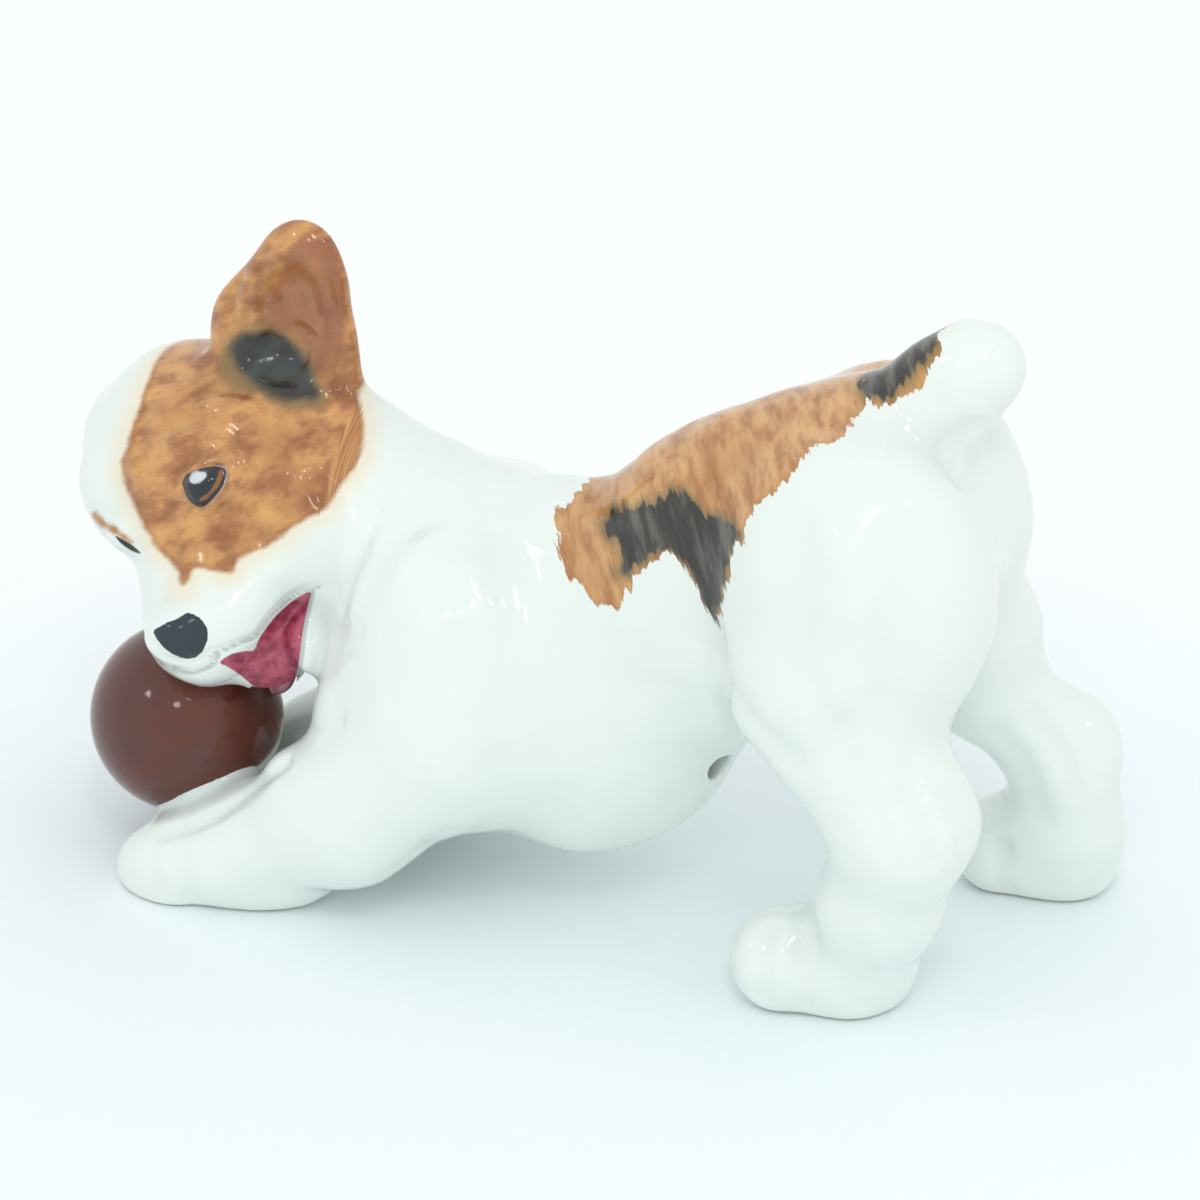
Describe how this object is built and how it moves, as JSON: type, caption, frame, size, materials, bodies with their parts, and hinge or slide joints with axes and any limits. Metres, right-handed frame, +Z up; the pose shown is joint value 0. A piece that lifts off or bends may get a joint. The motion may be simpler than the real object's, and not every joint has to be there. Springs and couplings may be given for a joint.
{
  "type": "china dog figurine",
  "caption": "Small glazed china figurine of a terrier puppy in a play bow, head turned and chin resting on a ball held between its forepaws; stands on its four feet as a shelf ornament.",
  "frame": {"origin": "middle of the bounding box, on the shelf under the feet", "axes": "+X towards the tail, so the dog faces -X; +Y towards its right side; +Z up"},
  "size_m": [0.1008, 0.0414, 0.0634],
  "materials": {
    "white_glaze": "gloss",
    "brown_glaze": "gloss",
    "patch_glaze": "gloss",
    "pink_glaze": "gloss"
  },
  "bodies": {
    "root": {"ball": "brown_glaze", "left_foreleg": "white_glaze", "right_foreleg": "white_glaze", "left_hind_leg": "white_glaze", "right_hind_leg": "white_glaze", "tail": "white_glaze", "body_casting": "white_glaze", "left_ear": "patch_glaze", "right_ear": "white_glaze", "head_casting": "white_glaze", "lower_jaw": "white_glaze", "tongue": "pink_glaze"}
  },
  "joints": []
}
